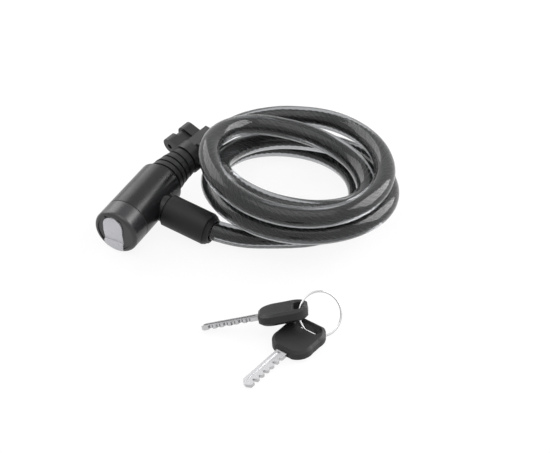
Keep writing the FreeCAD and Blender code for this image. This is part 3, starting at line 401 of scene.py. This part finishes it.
def dress(material, *names):
    """Gives carried-over pieces their finish."""
    for name in names:
        slots = nodes[name].data.materials
        if not slots:
            slots.append(material)
        for i in range(len(slots)):
            slots[i] = material


shell_black = finish("shell_black", (0.008, 0.008, 0.009), 0.26, 0.33, tint=0.06, shine=0.34)
cap_black = finish("cap_black", (0.012, 0.012, 0.014), 0.26, 0.34, 3200.0, 0.04, tint=0.06, shine=0.6)
sleeve_black = finish("sleeve_black", (0.007, 0.007, 0.008), 0.42, 0.52, 2800.0, 0.08, tint=0.08, shine=0.28)
dress(shell_black, "head_shell", "flap_pin", "cap_pin")
dress(cap_black, "front_cap")
dress(sleeve_black, "bolt_sleeve")

# Flap: a matt light-grey metal plate, pressed with a thumb recess, hinged over the keyway.
flap_grey = finish("flap_grey", (0.50, 0.50, 0.525), 0.35, 0.45, 3000.0, 0.04, tint=0.05, metal=0.3)
dress(flap_grey, "flap")

# Inside of the lock: turned steel pieces, a cast zinc case, a brass plug with its wafers, and the rope's ends
# crimped into steel ferrules. The bracket's screw and nut are of the same steel.
bright_steel = finish("bright_steel", (0.62, 0.62, 0.63), 0.22, 0.34, tint=0.05, metal=1.0)
cast_zinc = finish("cast_zinc", (0.36, 0.36, 0.38), 0.5, 0.65, 1500.0, 0.2, tint=0.08, metal=1.0)
plug_brass = finish("plug_brass", (0.72, 0.53, 0.24), 0.28, 0.4, tint=0.06, metal=1.0)
dress(bright_steel, "cam", "latch", "head_ferrule", "anchor_pin", "bolt_pin", "bolt_ferrule", "pinch_screw",
      "pinch_nut")
dress(cast_zinc, "lock_case", "rear_block")
dress(plug_brass, "key_plug", "wafers")
dress(rope_steel, "head_rope_end", "bolt_rope_end")

# Boot, seal and collar: moulded black rubber with a matt, slightly dusty skin, pushed over cable and sleeve.
boot_rubber = finish("boot_rubber", (0.012, 0.012, 0.013), 0.45, 0.6, 2200.0, 0.15, tint=0.12, shine=0.3)
dress(boot_rubber, "boot", "seal_ring", "sleeve_collar")

# Bracket: moulded in glass-filled black plastic with a satin skin, pinched round the boot's collar by one screw.
bracket_black = finish("bracket_black", (0.013, 0.013, 0.014), 0.38, 0.5, 2400.0, 0.12, tint=0.1, shine=0.32)
dress(bracket_black, "bracket_body")

# Keys: nickel-plated blades moulded into grained black heads, loose on a ring of bright wire.
key_nickel = finish("key_nickel", (0.50, 0.50, 0.51), 0.2, 0.34, tint=0.06, metal=1.0)
key_black = finish("key_black", (0.013, 0.013, 0.014), 0.42, 0.56, 3000.0, 0.2, tint=0.1, shine=0.3)
dress(key_nickel, "key_1_blade", "key_2_blade", "key_ring")
dress(key_black, "key_1_head", "key_2_head")


# Stage: a plain white floor that keeps a faint shadow, and a white surround. Both look white where they are seen
# straight, mirrored or through the jacket, and light the lock at a plain level.
def seen(tree):
    """One where a ray comes from the camera, off gloss or through a clear piece, and nought elsewhere."""
    ray = tree.nodes.new("ShaderNodeLightPath")
    most = ray.outputs["Is Camera Ray"]
    for kind in ("Is Glossy Ray", "Is Transmission Ray"):
        higher = tree.nodes.new("ShaderNodeMath")
        higher.operation = "MAXIMUM"
        tree.links.new(most, higher.inputs[0])
        tree.links.new(ray.outputs[kind], higher.inputs[1])
        most = higher.outputs["Value"]
    return most


floor_half = 4.0
floor_glow = 0.9
floor_data = bpy.data.meshes.new("floor")
floor_corners = [(x * floor_half, y * floor_half, 0.0) for x, y in ((-1, -1), (1, -1), (1, 1), (-1, 1))]
floor_data.from_pydata(floor_corners, [], [(0, 1, 2, 3)])
floor = bpy.data.objects.new("floor", floor_data)
bpy.context.scene.collection.objects.link(floor)
floor_white, floor_tree, floor_shader = bare_material("floor_white")
floor_shader.inputs["Base Color"].default_value = (0.9, 0.9, 0.9, 1.0)
floor_shader.inputs["Roughness"].default_value = 0.9
floor_shader.inputs["Specular IOR Level"].default_value = 0.1
glow = floor_tree.nodes.new("ShaderNodeEmission")
glow_share = floor_tree.nodes.new("ShaderNodeMath")
glow_share.operation = "MULTIPLY"
glow_share.inputs[1].default_value = floor_glow
blend_floor = floor_tree.nodes.new("ShaderNodeMixShader")
floor_tree.links.new(seen(floor_tree), glow_share.inputs[0])
floor_tree.links.new(glow_share.outputs["Value"], blend_floor.inputs["Fac"])
floor_tree.links.new(floor_shader.outputs["BSDF"], blend_floor.inputs[1])
floor_tree.links.new(glow.outputs["Emission"], blend_floor.inputs[2])
floor_tree.links.new(blend_floor.outputs["Shader"], floor_tree.nodes["Material Output"].inputs["Surface"])
floor_data.materials.append(floor_white)

world = bpy.data.worlds.new("studio")
bpy.context.scene.world = world
world.use_nodes = True
sky = world.node_tree
surround = sky.nodes["Background"]
surround.inputs["Color"].default_value = (1.0, 1.0, 1.0, 1.0)
level = sky.nodes.new("ShaderNodeMapRange")
level.inputs["To Min"].default_value = 0.55
level.inputs["To Max"].default_value = 1.0
sky.links.new(seen(sky), level.inputs["Value"])
sky.links.new(level.outputs["Result"], surround.inputs["Strength"])


# Lamps: a broad soft box behind on the left, one on the right whose reflection runs down the head, and one above.
def soft_box(name, place, size, power):
    data = bpy.data.lights.new(name, "AREA")
    data.shape = "RECTANGLE"
    data.size, data.size_y = size
    data.energy = power
    lamp = bpy.data.objects.new(name, data)
    bpy.context.scene.collection.objects.link(lamp)
    lamp.location = lay + Vector(place)
    lamp.rotation_euler = (lay - lamp.location).to_track_quat("-Z", "Y").to_euler()


soft_box("back_left", (-0.9, 0.8, 0.9), (1.5, 1.1), 13.0)
soft_box("right_side", (0.95, 0.28, 0.48), (0.9, 0.9), 14.0)
soft_box("top_front", (0.1, -0.5, 1.3), (1.6, 1.4), 8.0)

bpy.context.scene.view_settings.view_transform = "Standard"
